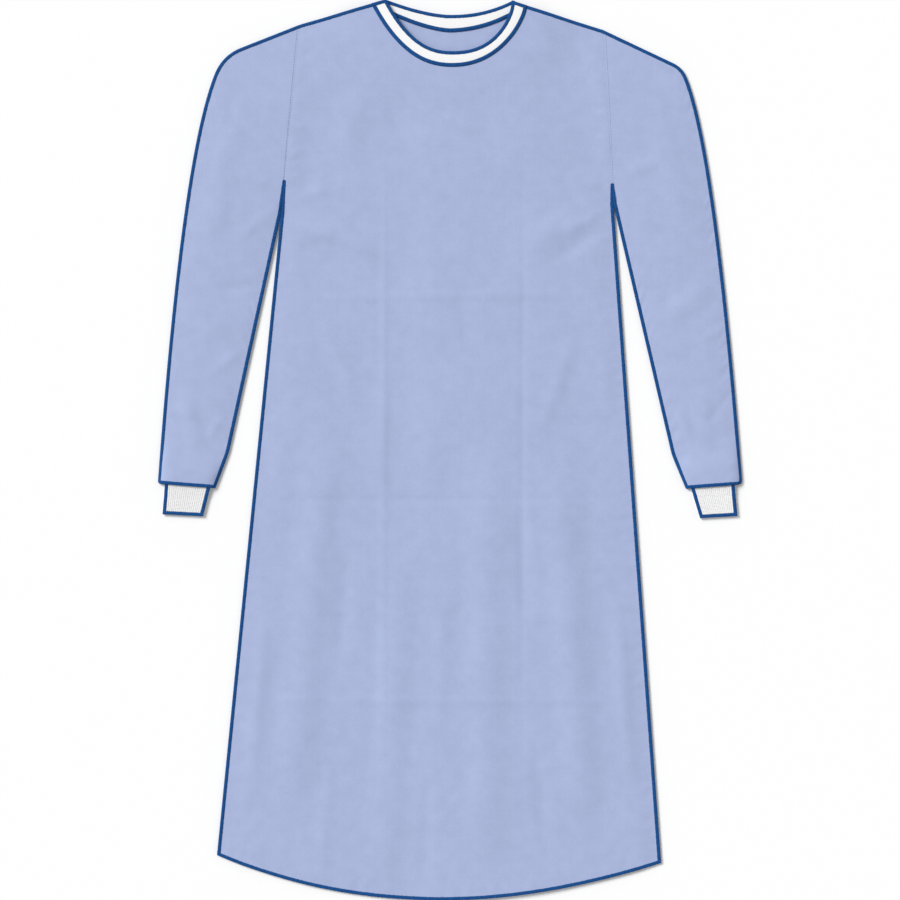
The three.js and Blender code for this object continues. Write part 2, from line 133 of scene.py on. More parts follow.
# Puckers: ripples beside a seam
PUCKER_RISE = 0.00022
PUCKER_FULL = 0.010  # how far from the seam they are highest, and where they end
PUCKER_REACH = 0.028
PUCKER_WAVES = ((1.0, 0.0029, 1.0), (0.7, 0.0047, 2.0))  # share, length and turn of the phase of each
PUCKER_PATCH = 0.031
PUCKER_PHASES = {"left": 0.4, "right": 1.7, "hem": 2.6, "underarm": 0.9, "overarm": 3.1}

# Cuffs
CUFF_TUCK = 0.014
CUFF_THICK = 0.0032
CUFF_SHEET = 0.0009
CUFF_RIBS = 42  # all round
SHOWN_RIBS = (1, 19)  # the ones between the seams of a cuff's upper face
RIB_CELLS = 6  # across a rib
CUFF_ROWS = 32
RIB_RISE = 0.0005
RIB_POWER = 0.7  # how full a rib is
CUFF_FALL = (0.003, 0.016)  # from the sleeve's end, where the cuff goes down to the floor
CUFF_SEAM_TUCK = 0.0026  # how far the seams of a cuff run up under the sleeve
CUFF_SEAM_LEVEL = CUFF_THICK + 0.8 * RIB_RISE
COURSE = 0.0020  # from one row of knit stitches to the next
STITCH_LEG = (  # path of a stitch's leg: out from the rib's middle, along the rib, and up
    (0.00015, 0.0, 0.0),
    (0.0004, -0.0008, 0.0002),
    (0.0007, -0.0018, 0.0001),
    (0.0009, -0.0026, -0.0003),
)
LEG_WIDTH = 0.00105
LEG_THICK = 0.00045
LEG_LEAN = 0.35
MOUTH_LIFT = 0.0052  # how far the sleeve's end stands up over the cuff
MOUTH_POWER = 6
MOUTH_FLAT = 0.022
MOUTH_LENGTH = 0.064

# Broad soft folds of the front and the sleeves: ridges from one point to another
Ridge = namedtuple("Ridge", "start end reach rise")
FRONT_FOLDS = (
    Ridge((-0.168, 0.120), (-0.232, -0.600), 0.040, 0.0023),
    Ridge((-0.066, -0.080), (-0.092, -0.660), 0.036, 0.0019),
    Ridge((0.052, 0.060), (0.050, -0.670), 0.040, 0.0022),
    Ridge((0.150, 0.040), (0.196, -0.620), 0.038, 0.0023),
    Ridge((-0.205, 0.330), (-0.090, 0.262), 0.030, 0.0019),
    Ridge((0.200, 0.340), (0.096, 0.284), 0.030, 0.0017),
    Ridge((-0.130, 0.520), (-0.150, 0.400), 0.034, 0.0014),
)
SLEEVE_FOLDS = {
    "left": (
        Ridge((-0.300, 0.500), (-0.352, 0.250), 0.032, 0.0013),
        Ridge((-0.390, 0.205), (-0.305, 0.150), 0.026, 0.0012),
        Ridge((-0.378, 0.110), (-0.352, -0.030), 0.022, 0.0010),
    ),
    "right": (
        Ridge((0.296, 0.480), (0.338, 0.300), 0.032, 0.0013),
        Ridge((0.384, 0.250), (0.300, 0.176), 0.026, 0.0012),
        Ridge((0.352, 0.096), (0.366, -0.030), 0.022, 0.0010),
    ),
}
FOLD_FADE_IN = 0.35  # share of a fold's length over which it rises
FOLD_FADE_OUT = 0.35

# Finer creases: ridges where rise is above zero, troughs where it is below
CREASE_FADE_IN = 0.3
CREASE_FADE_OUT = 0.4
CREASE_END_WIDTH = 0.6  # a crease's width at its ends, as a share of its reach
FRONT_CREASES = (
    Ridge((-0.228, 0.322), (-0.150, 0.292), 0.008, 0.0012),
    Ridge((-0.224, 0.300), (-0.128, 0.232), 0.010, -0.00105),
    Ridge((-0.226, 0.352), (-0.162, 0.372), 0.009, 0.0009),
    Ridge((0.220, 0.338), (0.148, 0.300), 0.009, 0.0012),
    Ridge((0.218, 0.316), (0.130, 0.256), 0.010, -0.00105),
    Ridge((0.214, 0.366), (0.160, 0.392), 0.008, 0.0009),
    Ridge((-0.020, 0.470), (0.052, 0.452), 0.012, 0.0009),
    Ridge((0.070, 0.520), (0.130, 0.470), 0.012, 0.00105),
    Ridge((-0.090, 0.500), (-0.060, 0.420), 0.011, -0.00075),
    Ridge((-0.186, 0.180), (-0.120, 0.060), 0.012, 0.00105),
    Ridge((0.176, 0.170), (0.128, 0.020), 0.013, 0.0012),
    Ridge((0.010, 0.250), (0.030, 0.110), 0.014, -0.0009),
    Ridge((-0.090, 0.120), (-0.104, -0.090), 0.013, 0.00105),
    Ridge((0.096, -0.060), (0.112, -0.260), 0.012, -0.0012),
    Ridge((-0.142, -0.120), (-0.160, -0.330), 0.012, -0.0012),
    Ridge((-0.010, -0.180), (-0.014, -0.420), 0.013, 0.00105),
    Ridge((-0.262, -0.240), (-0.284, -0.520), 0.012, 0.00105),
    Ridge((0.236, -0.200), (0.256, -0.500), 0.012, 0.0012),
    Ridge((0.120, -0.400), (0.140, -0.610), 0.011, -0.00105),
    Ridge((-0.030, -0.440), (-0.036, -0.640), 0.011, -0.0009),
    Ridge((-0.170, -0.440), (-0.184, -0.620), 0.010, 0.0009),
)
SLEEVE_CREASES = {
    "left": (
        Ridge((-0.242, 0.340), (-0.300, 0.300), 0.008, 0.00098),
        Ridge((-0.246, 0.372), (-0.312, 0.392), 0.009, 0.00098),
        Ridge((-0.266, 0.236), (-0.340, 0.222), 0.008, -0.00084),
        Ridge((-0.282, 0.150), (-0.350, 0.096), 0.008, 0.00084),
        Ridge((-0.392, 0.150), (-0.342, 0.170), 0.007, -0.0007),
        Ridge((-0.398, 0.060), (-0.350, 0.046), 0.007, 0.0007),
        Ridge((-0.316, 0.052), (-0.346, 0.010), 0.007, 0.0007),
        Ridge((-0.300, 0.520), (-0.318, 0.440), 0.010, -0.0007),
    ),
    "right": (
        Ridge((0.236, 0.352), (0.296, 0.306), 0.008, 0.00098),
        Ridge((0.240, 0.384), (0.306, 0.412), 0.009, 0.00084),
        Ridge((0.258, 0.240), (0.330, 0.206), 0.008, -0.00084),
        Ridge((0.276, 0.164), (0.336, 0.130), 0.008, 0.00084),
        Ridge((0.394, 0.176), (0.346, 0.150), 0.007, 0.0007),
        Ridge((0.398, 0.078), (0.356, 0.034), 0.007, -0.0007),
        Ridge((0.318, 0.060), (0.344, 0.004), 0.007, 0.0007),
        Ridge((0.302, 0.508), (0.330, 0.420), 0.010, -0.0007),
    ),
}
# Creases left by folding the gown for its pack, across and down the front
PACK_CREASES = (
    Ridge((-0.300, 0.214), (0.300, 0.220), 0.0050, 0.00055),
    Ridge((-0.320, -0.072), (0.320, -0.068), 0.0050, -0.00055),
    Ridge((-0.340, -0.352), (0.340, -0.356), 0.0050, 0.00055),
    Ridge((-0.092, 0.480), (-0.096, -0.610), 0.0050, 0.00055),
    Ridge((0.104, 0.480), (0.100, -0.610), 0.0050, -0.00055),
)
# Slight unevenness of laid cloth: waves of several lengths and directions, which wander
UNEVEN_WAVES = (
    {"length": 0.230, "turn": 0.4, "rise": 0.00035},
    {"length": 0.171, "turn": 1.9, "rise": 0.00030},
    {"length": 0.097, "turn": 2.7, "rise": 0.00014},
    {"length": 0.063, "turn": 1.1, "rise": 0.00008},
)
WANDER, WANDER_TURN = 0.6, 4.1
SLEEVE_UNEVEN = 0.5  # share of it on the sleeves

# Overlocked edges: strands of thread side by side over an edge, and a chain along their inner ends
STRAND_PITCH = 0.0013
STRAND_WIDTH = 0.00142
STRAND_THICK = 0.00050
STRAND_SIDES, CHAIN_SIDES, LEG_SIDES = 6, 5, 5
BAND = 0.0046  # how far the strands reach in from the edge
STRAND_PATH = (  # over an edge: share of the reach, further in, up, share of the drop, and share of the slant
    (1.0, 0.0, -0.00010, 0.0, -0.5),
    (1.0, -0.0005, 0.00022, 0.0, -0.4),
    (0.5, 0.0, 0.00034, 0.0, 0.0),
    (0.0, 0.0005, 0.00030, 0.0, 0.35),
    (0.0, -0.00008, 0.00002, 0.0, 0.45),
    (0.0, -0.00012, 0.00030, 1.0, 0.5),
)
ON_CLOTH = 4  # how many of these points lie on the cloth
TURNED_UNDER = (0.0, 0.003, -0.00018, 1.0, 0.6)  # one more, where a strand turns under the edge
TAPE_STITCH = (  # over the edge of a neck tape: out from the edge, and up from the tape's base
    (-0.0047, 0.00375),
    (-0.0042, 0.00405),
    (-0.0022, 0.00395),
    (-0.0004, 0.00365),
    (0.0003, 0.00315),
    (0.0005, 0.00230),
)
STRAND_SLANT = 0.0007
STRAND_TAPER = 0.45  # share of its width at its ends
WIDTH_SPREAD = (0.94, 1.06)
REACH_SPREAD = (-0.0002, 0.0002)
TAPE_REACH_SPREAD = (-0.0001, 0.0001)
SLANT_SPREAD = (-0.0001, 0.0001)
CHAIN_THICK = 0.00062
CHAIN_THIN = 0.72  # share of it between two stitches
CHAIN_INSET = 0.0003  # from the strands' inner ends
CHAIN_RISE = 0.00022
TAPE_CHAIN_RISE = 0.0001
ARMHOLE_INSET = 0.0034
ARMHOLE_STITCH = {"pitch": 0.0036, "length": 0.0027, "width": 0.0005}
ARMHOLE_ARCH = (-0.0001, 0.00022, 0.0003, 0.00022, -0.0001)  # height along a stitch
TWIST_LENGTH = 0.0009  # of a turn of the thread's plies
INNER_STEP = 0.005  # from an edge to a line that shows which way is in
INNER_SHARE = 0.2  # the same on a cuff, as a share of the way to its middle
END_STEP = 0.01  # the same at the ends of the front binding, as a share of the neck edge
SEAM_END = 0.5  # share of its width that a seam keeps where it ends in a point
CLOSE = 0.00005  # cloth edges that meet are drawn this close
WELD = 1e-6  # points of a closed tube that are this close become one
SEED = 7

# Points that make up curves, and cells that make up panels
NECK_STATIONS = 241
HEM_STATIONS = 161
FOLD_STATIONS = 161
BAND_STATIONS = 200
SIDE_STATIONS = 24
DIRECTION_STEP = 0.002  # share of a line over which its direction is taken
SECTION_ROUNDS = 3  # how often the corners of the tape's section are cut
FRONT_CELLS = (128, 280)
BACK_CELLS = (40, 120)
SLEEVE_CELLS = (48, 180)
SLEEVE_BACK_CELLS = (24, 96)
NECK_SHARES = (9 / 32, 23 / 32)  # shares of the front's upper edge at the ends of the neck
BACK_SHOULDER_SHARE = 3 / 8

# Colours and stage
CLOTH_COLOUR = (0.361, 0.426, 0.639)
KNIT_COLOUR = (0.97, 0.97, 0.97)
TAPE_COLOUR = (0.90, 0.90, 0.90)
THREAD_COLOUR = (0.0012, 0.072, 0.262)
FLOOR_COLOUR = (0.9, 0.9, 0.9)
FLOOR_SIZE = 30.0
FLOOR_LEVEL = -0.0006
ROOM_COLOUR = (1.0, 1.0, 1.0, 1.0)
ROOM_LIGHT = 0.50
KEY_ENERGY = 3.05
KEY_ANGLE = 0.45
KEY_DIRECTION = (1.0, -0.75, -1.0)
VIEW_WIDTH = 1.270  # of the picture, at the height of the cloth
LENS, SENSOR = 0.085, 0.036
CLOTH_LEVEL = 0.003

RANDOM = np.random.default_rng(SEED)
UP = np.array([0.0, 0.0, 1.0])
DOWN = Vector((0.0, 0.0, -1.0))
ABOVE = 1.0  # height from which the cloth is looked for


# Shares, lines and distances in plan

def progress(x, low, high):
    return np.clip((x - low) / (high - low), 0.0, 1.0)


def smooth(x, low, high):
    t = progress(x, low, high)
    return t * t * (3.0 - 2.0 * t)


def mix(a, b, t):
    return a + (b - a) * t


def between(a, b, share):
    return np.asarray(a) + (np.asarray(b) - np.asarray(a)) * np.asarray(share)[..., None]


def unit(vectors):
    return vectors / np.maximum(np.linalg.norm(vectors, axis=-1, keepdims=True), 1e-12)


def toward(start, end, distance):
    return np.asarray(start) + unit(np.subtract(end, start)) * distance


def with_height(p, z):
    return np.concatenate([p, np.full((*p.shape[:-1], 1), z)], axis=-1)


class Line:
    """A line of points that can be asked for the point at any share of its length."""

    def __init__(self, points):
        self.points = np.asarray(points, float)
        lengths = np.linalg.norm(np.diff(self.points, axis=0), axis=1)
        run = np.concatenate(([0.0], np.cumsum(lengths)))
        self.length = run[-1]
        self.shares = run / run[-1]

    def at(self, share):
        columns = [np.interp(share, self.shares, column) for column in self.points.T]
        return np.stack(columns, axis=-1)

    def direction(self, share):
        ahead = self.at(np.minimum(np.asarray(share) + DIRECTION_STEP, 1.0))
        return unit(ahead - self.at(np.maximum(np.asarray(share) - DIRECTION_STEP, 0.0)))

    def distance(self, p):
        best = np.full(p.shape[:-1], np.inf)
        for a, b in zip(self.points[:-1], self.points[1:]):
            best = np.minimum(best, segment_distance(p, a, b)[0])
        return best


def segment_distance(p, a, b):
    a = np.asarray(a, float)
    run = np.asarray(b, float) - a
    along = np.clip(((p - a) @ run) / (run @ run), 0.0, 1.0)
    return np.linalg.norm(p - a - along[..., None] * run, axis=-1), along


def bend(start, control, end, count):
    t = np.linspace(0.0, 1.0, count)
    return between(between(start, control, t), between(control, end, t), t)


def rounded(points, rounds):
    """The points with their corners cut, so that they follow a soft curve."""
    points = np.asarray(points, float)
    for _ in range(rounds):
        near = 0.75 * points[:-1] + 0.25 * points[1:]
        far = 0.25 * points[:-1] + 0.75 * points[1:]
        middle = np.stack([near, far], axis=1).reshape(-1, points.shape[1])
        points = np.concatenate([points[:1], middle, points[-1:]])
    return points


# Edges of the gown in plan

def neck_edge(lowest, power, round_share):
    turn = np.linspace(-0.5, 0.5, NECK_STATIONS) * np.pi
    points = []
    for side, part in ((LEFT, turn[turn < 0]), (RIGHT, turn[turn >= 0])):
        share = np.abs(np.sin(part))
        rise = mix(share ** side[power], 1.0 - np.cos(part), side[round_share])
        x = mix(lowest[0], side["neck"][0], share)
        points.append(np.stack([x, mix(lowest[1], side["neck"][1], rise)], axis=-1))
    return Line(np.concatenate(points))


FRONT_NECK_EDGE = neck_edge(FRONT_NECK, "front_neck_power", "front_neck_round")
BACK_NECK_EDGE = neck_edge(BACK_NECK, "back_neck_power", "back_neck_round")
BACK_MIDDLE = float(np.interp(BACK_NECK[0], BACK_NECK_EDGE.points[:, 0], BACK_NECK_EDGE.shares))
HALF_GAP = CLOSE / 2 / BACK_NECK_EDGE.length


def shoulder_direction(side):
    return unit(np.subtract(side["shoulder"], side["neck"]))


def neck_point(edge, share, out):
    """A point of a neck edge, moved out into the cloth. At its ends it moves along the shoulder seam."""
    share = np.asarray(share, float)
    along = edge.direction(share)
    square = np.stack([along[..., 1], -along[..., 0]], axis=-1)
    seams = []
    for side, end in ((LEFT, 0.0), (RIGHT, 1.0)):
        seam = shoulder_direction(side)
        tangent = edge.direction(end)
        seams.append(seam / abs(tangent[0] * seam[1] - tangent[1] * seam[0]))
    seam = np.where((share < 0.5)[..., None], seams[0], seams[1])
    from_end = edge.length * np.minimum(share, 1.0 - share)
    turn = between(seam, square, smooth(from_end, 0.0, END_BLEND))
    return edge.at(share) + turn * np.asarray(out)[..., None]


def hem_bow():
    share = np.linspace(0.0, 1.0, HEM_STATIONS)
    bow = 4.0 * share * (1.0 - share) * (1.0 + HEM_SKEW * (1.0 - 2.0 * share))
    points = between(LEFT["hem"], RIGHT["hem"], share)
    points[:, 1] -= HEM_DROP * bow
    return Line(points)


HEM = hem_bow()


def hem_share(x):
    return np.interp(x, HEM.points[:, 0], HEM.shares)


def overarm(side):
    tip, bow, wrist = side["tip"], side["overarm"], side["wrist_outer"]
    before = toward(tip, side["shoulder"], side["tip_round"])
    after = toward(tip, bow, side["tip_round"])
    above = toward(wrist, bow, side["wrist_round"])
    inside = toward(wrist, side["wrist_inner"], side["wrist_round"])
    down = bend(after, bow, above, 64)[1:]
    corner = bend(above, wrist, inside, 12)[1:]
    return Line(np.concatenate([[side["shoulder"]], bend(before, tip, after, 16), down, corner]))


def underarm_seam(side):
    corner, wrist = side["wrist_bend"], side["wrist_inner"]
    before = toward(corner, side["underarm"], WRIST_BEND_ROUND)
    after = toward(corner, wrist, WRIST_BEND_ROUND)
    return Line(np.concatenate([[side["underarm"]], bend(before, corner, after, 9), [wrist]]))


def armhole_share(v):
    return progress(v, UNDERARM_SHARE, 1.0)


def body_side(side):
    def at(v):
        seam = between(side["hem"], side["underarm"], progress(v, 0.0, UNDERARM_SHARE))
        armhole = between(side["underarm"], side["shoulder"], armhole_share(v))
        return np.where((v < UNDERARM_SHARE)[..., None], seam, armhole)

    return at


def patch(low, high, near, far):
    """Plan points inside four edges: low and high by share across, near and far by share up."""

    def at(u, v):
        ends = np.array([0.0, 1.0])
        low_ends, high_ends = low(ends), high(ends)
        ruled = between(low(u), high(u), v) + between(near(v), far(v), u)
        corners = between(between(*low_ends, u), between(*high_ends, u), v)
        return ruled - corners

    return at


# Heights of the cloth

def fold_height(folds, p):
    height = np.zeros(p.shape[:-1])
    for fold in folds:
        distance, along = segment_distance(p, fold.start, fold.end)
        across = 0.5 + 0.5 * np.cos(np.pi * np.minimum(1.0, distance / fold.reach))
        ends = smooth(along, 0.0, FOLD_FADE_IN) * smooth(1.0 - along, 0.0, FOLD_FADE_OUT)
        height = np.maximum(height, fold.rise * across * ends)
    return height


def crease_height(creases, p):
    height = np.zeros(p.shape[:-1])
    for crease in creases:
        distance, along = segment_distance(p, crease.start, crease.end)
        width = crease.reach * mix(CREASE_END_WIDTH, 1.0, np.sin(np.pi * along))
        ends = smooth(along, 0.0, CREASE_FADE_IN) * smooth(1.0 - along, 0.0, CREASE_FADE_OUT)
        height += crease.rise * ends * np.exp(-((distance / width) ** 2))
    return height


def uneven_height(p):
    height = np.zeros(p.shape[:-1])
    for wave in UNEVEN_WAVES:
        along = p[..., 0] * math.cos(wave["turn"]) + p[..., 1] * math.sin(wave["turn"])
        across = p[..., 1] * math.cos(wave["turn"]) - p[..., 0] * math.sin(wave["turn"])
        wander = WANDER * np.sin(across / wave["length"] * WANDER_TURN)
        height += wave["rise"] * np.sin(along / wave["length"] * 2.0 * np.pi + wander)
    return height


def pucker_height(run, away, phase):
    """Small ripples along a seam that die away from it."""
    ripple = sum(share * np.sin(run / length + turn * phase) for share, length, turn in PUCKER_WAVES)
    patches = 0.55 + 0.45 * np.sin(run / PUCKER_PATCH + 3.0 * phase)
    fade = smooth(away, BAND, PUCKER_FULL) * (1.0 - smooth(away, PUCKER_FULL, PUCKER_REACH))
    return PUCKER_RISE * ripple * patches * fade


def crown(share, power):
    return 1.0 - np.abs(2.0 * share - 1.0) ** power


def opening_step(p):
    """The right back lies raised beside the back opening, and the front rises over it."""
    down = smooth(-p[..., 1], -RIGHT["underarm"][1], -RIGHT["hem"][1])
    right_edge = mix(RIGHT["underarm"][0], RIGHT["hem"][0], down)
    fall = 1.0 - smooth(p[..., 0] / right_edge, FLAP_COVER, FRONT_CLEAR)
    return LAYER * smooth(p[..., 0], *OPENING_RISE) * fall


def front_height(p, u, v):
    left, right = body_side(LEFT)(v), body_side(RIGHT)(v)
    from_side = np.minimum(np.linalg.norm(p - left, axis=-1), np.linalg.norm(p - right, axis=-1))
    inside = smooth(from_side, 0.0, SEAM_FADE) * smooth((1.0 - v) * BODY_HEIGHT, 0.0, SEAM_FADE)
    share = armhole_share(v)
    edge = np.where(share > 0.0, SLEEVE_LOFT * crown(share, LOFT_POWER), 0.0)
    soft = crease_height(FRONT_CREASES, p) + crease_height(PACK_CREASES, p) + uneven_height(p)
    lofted = FRONT_LOFT + opening_step(p) + fold_height(FRONT_FOLDS, p) + soft
    groove = SEAM_GROOVE * np.exp(-((from_side / GROOVE_REACH) ** 2))
    groove = np.where((share > 0.0) & (share < 1.0), groove, 0.0)
    phase = np.where(u < 0.5, PUCKER_PHASES["left"], PUCKER_PHASES["right"])
    pucker = pucker_height(v * BODY_HEIGHT, from_side, phase)
    pucker += pucker_height(u * HEM.length, v * BODY_HEIGHT, PUCKER_PHASES["hem"])
    level = LAYER + mix(edge, lofted, inside) - groove + pucker
    plateau = FRONT_BINDING_BASE + TAPE + GAP
    return CLOTH + mix(plateau, level, smooth(FRONT_NECK_EDGE.distance(p), NECK_FLAT, NECK_FADE))


def back_raise(p):
    return 1.0 - smooth(BACK_NECK_EDGE.distance(p), NECK_FLAT, BACK_NECK_FADE)


def back_left_height(p, u, v):
    return SHEET + LAYER * back_raise(p)


def back_right_height(p, u, v):
    on_flap = 1.0 - smooth(1.0 - u, FLAP_COVER, FLAP_CLEAR)
    return SHEET + LAYER * np.maximum(back_raise(p), on_flap)


def sleeve_front_height(side):
    wrist = between(side["wrist_inner"], side["wrist_outer"], 0.5)
    seam, arm = underarm_seam(side), overarm(side)

    def at(p, u, v):
        middle = between(seam.at(v), arm.at(v), np.full(v.shape, 0.5))
        to_wrist = np.linalg.norm(middle - wrist, axis=-1)
        name = side["name"]
        soft = crease_height(SLEEVE_CREASES[name], p) + SLEEVE_UNEVEN * uneven_height(p)
        lofted = (SLEEVE_LOFT + fold_height(SLEEVE_FOLDS[name], p) + soft) * crown(u, LOFT_POWER)
        mouth = MOUTH_LIFT * crown(u, MOUTH_POWER)
        groove = SEAM_GROOVE * np.exp(-((v / SLEEVE_GROOVE_SHARE) ** 2)) * crown(u, MOUTH_POWER)
        opened = 1.0 - smooth(to_wrist, MOUTH_FLAT, MOUTH_LENGTH)
        width = np.linalg.norm(arm.at(v) - seam.at(v), axis=-1)
        pucker = pucker_height(v * seam.length, u * width, PUCKER_PHASES["underarm"])
        pucker += pucker_height(v * arm.length, (1.0 - u) * width, PUCKER_PHASES["overarm"])
        return CLOTH + LAYER + mix(lofted, mouth, opened) - groove + pucker

    return at


def flat_height(p, u, v):
    return np.full(p.shape[:-1], SHEET)


# Plans of the panels

def front_top(u):
    first, last = NECK_SHARES
    neck = neck_point(FRONT_NECK_EDGE, progress(u, first, last), np.full(u.shape, EDGE_INSET))
    starts = neck_point(FRONT_NECK_EDGE, np.array([0.0, 1.0]), np.full(2, EDGE_INSET))
    left = between(LEFT["shoulder"], starts[0], progress(u, 0.0, first))
    right = between(starts[1], RIGHT["shoulder"], progress(u, last, 1.0))
    return np.where((u < first)[..., None], left, np.where((u > last)[..., None], right, neck))


def back_top(side):
    end, middle = (0.0, BACK_MIDDLE - HALF_GAP) if side is LEFT else (1.0, BACK_MIDDLE + HALF_GAP)

    def at(u):
        share = mix(end, middle, progress(u, BACK_SHOULDER_SHARE, 1.0))
        neck = neck_point(BACK_NECK_EDGE, share, np.full(u.shape, EDGE_INSET))
        start = neck_point(BACK_NECK_EDGE, np.array([end]), np.array([EDGE_INSET]))[0]
        seam = between(side["shoulder"], start, progress(u, 0.0, BACK_SHOULDER_SHARE))
        return np.where((u < BACK_SHOULDER_SHARE)[..., None], seam, neck)

    return at


def back_left_plan():
    top = back_top(LEFT)
    flap_x = BACK_NECK[0] + FLAP_WIDTH
    open_x = BACK_NECK[0] - CLOSE / 2
    corner_y = BACK_NECK[1] - FLAP_TOP
    low = HEM.at(hem_share(flap_x))
    high = top(np.array([1.0]))[0]
    corners = np.array([low, (flap_x, corner_y - FLAP_SLANT), (open_x, corner_y), high])

    def opening(v):
        y = mix(low[1], high[1], v)
        return np.stack([np.interp(y, corners[:, 1], corners[:, 0]), y], axis=-1)

    def hem(u):
        return HEM.at(u * hem_share(flap_x))

    return patch(hem, top, body_side(LEFT), opening)


def back_right_plan():
    top = back_top(RIGHT)
    open_x = BACK_NECK[0] + CLOSE / 2
    low = HEM.at(hem_share(open_x))
    high = top(np.array([1.0]))[0]

    def hem(u):
        return HEM.at(mix(1.0, hem_share(open_x), u))

    def opening(v):
        return np.stack([np.full(v.shape, open_x), mix(low[1], high[1], v)], axis=-1)

    return patch(hem, top, body_side(RIGHT), opening)


def sleeve_plan(side):
    inner, outer = underarm_seam(side), overarm(side)
    apart = np.array([math.copysign(CLOSE, side["shoulder"][0]), 0.0])

    def at(u, v):
        return between(inner.at(v), outer.at(v), u) + apart * (1.0 - v)[..., None]

    return at


# Making pieces

def new_object(name, data):
    made = bpy.data.objects.new(name, data)
    bpy.context.scene.collection.objects.link(made)
    return made


def new_piece(name, mesh, material):
    piece = new_object(name, mesh)
    mesh.materials.append(material)
    mesh.polygons.foreach_set("use_smooth", [True] * len(mesh.polygons))
    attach(piece, "root")
    return piece


def mapped_grid(columns, rows, place, closed=False):
    """A bmesh grid whose points are moved by their shares across and up. Returns the mesh and its points."""
    form = bmesh.new()
    bmesh.ops.create_grid(form, x_segments=columns, y_segments=rows, size=0.5)
    shares = np.array([vertex.co[:2] for vertex in form.verts]) + 0.5
    points = place(shares[:, 0], shares[:, 1])
    for vertex, point in zip(form.verts, points):
        vertex.co = point
    c = np.rint(shares[:, 0] * columns).astype(int)
    r = np.rint(shares[:, 1] * rows).astype(int)
    grid = np.zeros((rows + 1, columns + 1, 3))
    grid[r, c] = points
    if closed:
        bmesh.ops.remove_doubles(form, verts=form.verts, dist=WELD)
    for edge in form.edges:
        edge.smooth = not edge.is_boundary
    form.normal_update()
    if sum(face.normal.z * face.calc_area() for face in form.faces) < 0:
        bmesh.ops.reverse_faces(form, faces=form.faces)
    mesh = bpy.data.meshes.new("grid")
    form.to_mesh(mesh)
    form.free()
    return mesh, grid


def turn_faces(mesh, outward):
    """Reverses the faces if outward, which measures how far they look out, is below zero."""
    form = bmesh.new()
    form.from_mesh(mesh)
    form.normal_update()
    if outward(form) < 0:
        bmesh.ops.reverse_faces(form, faces=form.faces)
    form.to_mesh(mesh)
    form.free()


def upper_up_lower_down(form):
    middle = sum(vertex.co.z for vertex in form.verts) / len(form.verts)
    return sum(face.normal.z * (face.calc_center_median().z - middle) for face in form.faces)


def sheet_piece(node, kind, mesh, material, thickness):
    """A piece of cloth in a node's place, with a wall of the given thickness; the node's own part is hidden.
    """
    piece = new_piece(f"{node}_{kind}", mesh, material)
    wall = piece.modifiers.new("wall", "SOLIDIFY")
    wall.thickness = thickness
    wall.offset = -1.0
    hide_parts(node)


def panel(name, plan, height, columns, rows, rests_on):
    def place(u, v):
        p = plan(u, v)
        return np.column_stack([p, height(p, u, v)])

    mesh, grid = mapped_grid(columns, rows, place)
    sheet_piece(name, "cloth", mesh, GOWN_CLOTH, SHEET)
    return grid


# Threads

def set_values(mesh, name, values):
    mesh.attributes.new(name, "FLOAT", "POINT").data.foreach_set("value", np.ravel(values))


def tubes(name, rings, run, tone, material):
    """A piece of closed tubes: rings of points, the run of thread to each ring, and each tube's tone."""
    corner = np.arange(rings[..., 0].size).reshape(rings.shape[:3])
    turned = np.roll(corner, -1, axis=2)
    quads = np.stack([corner[:, :-1], turned[:, :-1], turned[:, 1:], corner[:, 1:]], axis=-1)
    caps = np.concatenate([corner[:, 0, ::-1], corner[:, -1]])
    mesh = bpy.data.meshes.new(name)
    mesh.from_pydata(rings.reshape(-1, 3).tolist(), [], quads.reshape(-1, 4).tolist() + caps.tolist())
    turn_faces(mesh, lambda form: form.calc_volume(signed=True))
    sides = rings.shape[2]
    set_values(mesh, "twist", run[..., None] / TWIST_LENGTH + np.arange(sides) / sides)
    set_values(mesh, "tone", np.broadcast_to(tone[:, None, None], corner.shape))
    new_piece(name, mesh, material)


def strands(name, paths, widths, thickness, material, sides=STRAND_SIDES):
    """Flat strands. Each path is a row of points, and widths are the strands' half-width vectors."""
    count, points = paths.shape[:2]
    along = unit(np.gradient(paths, axis=1))
    across = np.broadcast_to(unit(widths)[:, None, :], along.shape)
    rise = unit(np.cross(along, across))
    taper = np.ones(points)
    taper[[0, -1]] = STRAND_TAPER
    angle = (np.arange(sides) + 0.5) * 2 * np.pi / sides - np.pi / 2
    wide = widths[:, None, None, :] * np.cos(angle)[None, None, :, None]
    high = rise[:, :, None, :] * (thickness / 2 * np.sin(angle))[None, None, :, None]
    rings = paths[:, :, None, :] + (wide + high) * taper[None, :, None, None]
    lengths = np.linalg.norm(np.diff(paths, axis=1), axis=-1)
    run = np.concatenate([np.zeros((count, 1)), np.cumsum(lengths, axis=1)], axis=1)
    tubes(name, rings, run, RANDOM.uniform(0.0, 1.0, count), material)


def lay_strands(name, paths, along):
    width = along * (STRAND_WIDTH / 2 * RANDOM.uniform(*WIDTH_SPREAD, len(paths)))[:, None]
    strands(name, paths, width, STRAND_THICK, SEAM_THREAD)


